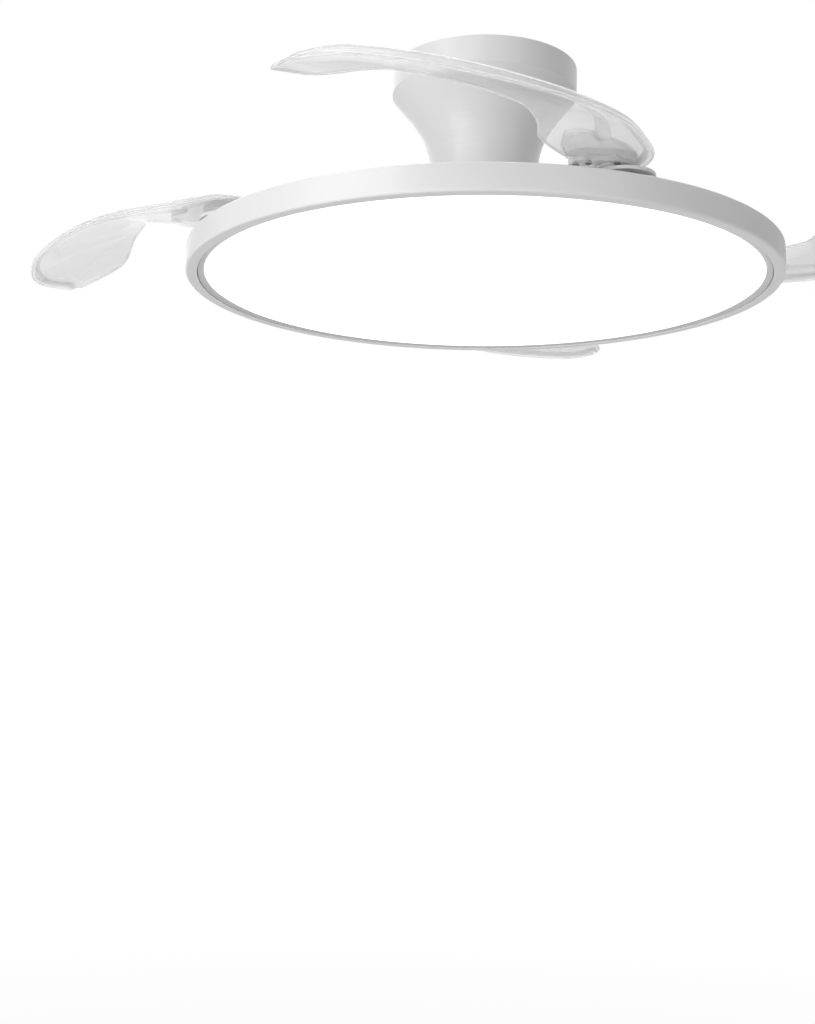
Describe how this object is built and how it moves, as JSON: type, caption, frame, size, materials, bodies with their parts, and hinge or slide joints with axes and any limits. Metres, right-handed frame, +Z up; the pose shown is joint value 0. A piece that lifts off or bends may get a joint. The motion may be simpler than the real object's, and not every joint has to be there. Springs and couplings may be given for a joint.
{
  "type": "retractable blade ceiling fan",
  "caption": "Ceiling fan with a slim round LED lamp and clear blades that fold away above it, hung from a flared white canopy.",
  "frame": {"origin": "centre of the ceiling bracket's upper face, on the fan's axis, where it meets the ceiling", "axes": "+Z up along the fan's axis, into the ceiling; -Y towards the picture's camera; +X to its right"},
  "size_m": [0.9716, 0.9716, 0.226],
  "materials": {
    "white_paint": "gloss white paint",
    "tray_paint": "satin white paint",
    "carrier_paint": "satin white paint",
    "white_plastic": "gloss",
    "bezel_plastic": "gloss",
    "opal_diffuser": "opal, lit from behind",
    "clear_blade": "clear moulded blade with a milky tint",
    "gear_plastic": "acetal",
    "roller_plastic": "acetal",
    "dark_plastic": "fine grain",
    "terminal_plastic": "moulded",
    "board_white": "solder mask",
    "led_phosphor": "phosphor",
    "zinc_steel": "zinc plated",
    "screw_steel": "plated",
    "bearing_steel": "ground",
    "laminated_steel": "stacked sheet",
    "spring_steel": "drawn wire",
    "plated_nut": "plated brass",
    "bush_brass": "sintered bronze",
    "copper_wire": "enamelled wire",
    "magnet": "bonded magnet",
    "buffer_rubber": "soft stop"
  },
  "bodies": {
    "root": {"ceiling_bracket": "zinc_steel", "bracket_standoffs": "zinc_steel", "hanger_plate": "zinc_steel", "hanger_screws": "screw_steel", "hanger_nuts": "plated_nut", "receiver_box": "dark_plastic", "terminal_block": "terminal_plastic", "canopy": "white_paint", "canopy_nut": "plated_nut", "centre_tube": "zinc_steel", "bearing_nuts": "plated_nut", "upper_bearing": "bearing_steel", "lower_bearing": "bearing_steel", "stator_core": "laminated_steel", "stator_windings": "copper_wire", "lamp_nut": "plated_nut", "lamp_tray": "tray_paint", "lamp_band": "white_paint", "bezel_ring": "bezel_plastic", "diffuser": "opal_diffuser", "led_board": "board_white", "led_chips": "led_phosphor", "led_driver": "dark_plastic", "band_screws": "screw_steel"},
    "rotor": {"rotor_cup": "zinc_steel", "rotor_lid": "zinc_steel", "magnets": "magnet", "motor_screws": "screw_steel", "rotor_shroud": "white_plastic", "carrier_plate": "carrier_paint", "carrier_screws": "screw_steel", "hinge_pins": "screw_steel", "hinge_caps": "screw_steel", "return_springs": "spring_steel", "stop_buffers": "buffer_rubber", "ring_rollers": "roller_plastic"},
    "sync_ring": {"sync_ring": "gear_plastic"},
    "blade_1_arm": {"blade_1": "clear_blade", "blade_1_hinge": "white_plastic", "blade_1_bush": "bush_brass", "blade_1_screws": "screw_steel"},
    "blade_2_arm": {"blade_2": "clear_blade", "blade_2_hinge": "white_plastic", "blade_2_bush": "bush_brass", "blade_2_screws": "screw_steel"},
    "blade_3_arm": {"blade_3": "clear_blade", "blade_3_hinge": "white_plastic", "blade_3_bush": "bush_brass", "blade_3_screws": "screw_steel"},
    "blade_4_arm": {"blade_4": "clear_blade", "blade_4_hinge": "white_plastic", "blade_4_bush": "bush_brass", "blade_4_screws": "screw_steel"}
  },
  "joints": [
    {"name": "rotor_spin", "type": "hinge", "parent": "root", "child": "rotor", "pos_m": [0, 0, -0.19], "axis": [0, 0, 1], "continuous": true},
    {"name": "blade_1_fold", "type": "hinge", "parent": "rotor", "child": "blade_1_arm", "pos_m": [0.10792, -0.24586, -0.19], "axis": [0, 0, -1], "range_deg": [0, 56]},
    {"name": "blade_2_fold", "type": "hinge", "parent": "rotor", "child": "blade_2_arm", "pos_m": [0.24586, 0.10792, -0.19], "axis": [0, 0, -1], "range_deg": [0, 56]},
    {"name": "blade_3_fold", "type": "hinge", "parent": "rotor", "child": "blade_3_arm", "pos_m": [-0.10792, 0.24586, -0.19], "axis": [0, 0, -1], "range_deg": [0, 56]},
    {"name": "blade_4_fold", "type": "hinge", "parent": "rotor", "child": "blade_4_arm", "pos_m": [-0.24586, -0.10792, -0.19], "axis": [0, 0, -1], "range_deg": [0, 56]},
    {"name": "sync_ring_turn", "type": "hinge", "parent": "rotor", "child": "sync_ring", "pos_m": [0, 0, -0.19], "axis": [0, 0, -1], "range_deg": [-5.6, 0]}
  ],
  "couplings": [
    {"joint": "blade_2_fold", "follows": "blade_1_fold", "ratio": 1},
    {"joint": "blade_3_fold", "follows": "blade_1_fold", "ratio": 1},
    {"joint": "blade_4_fold", "follows": "blade_1_fold", "ratio": 1},
    {"joint": "sync_ring_turn", "follows": "blade_1_fold", "ratio": -0.09816}
  ]
}
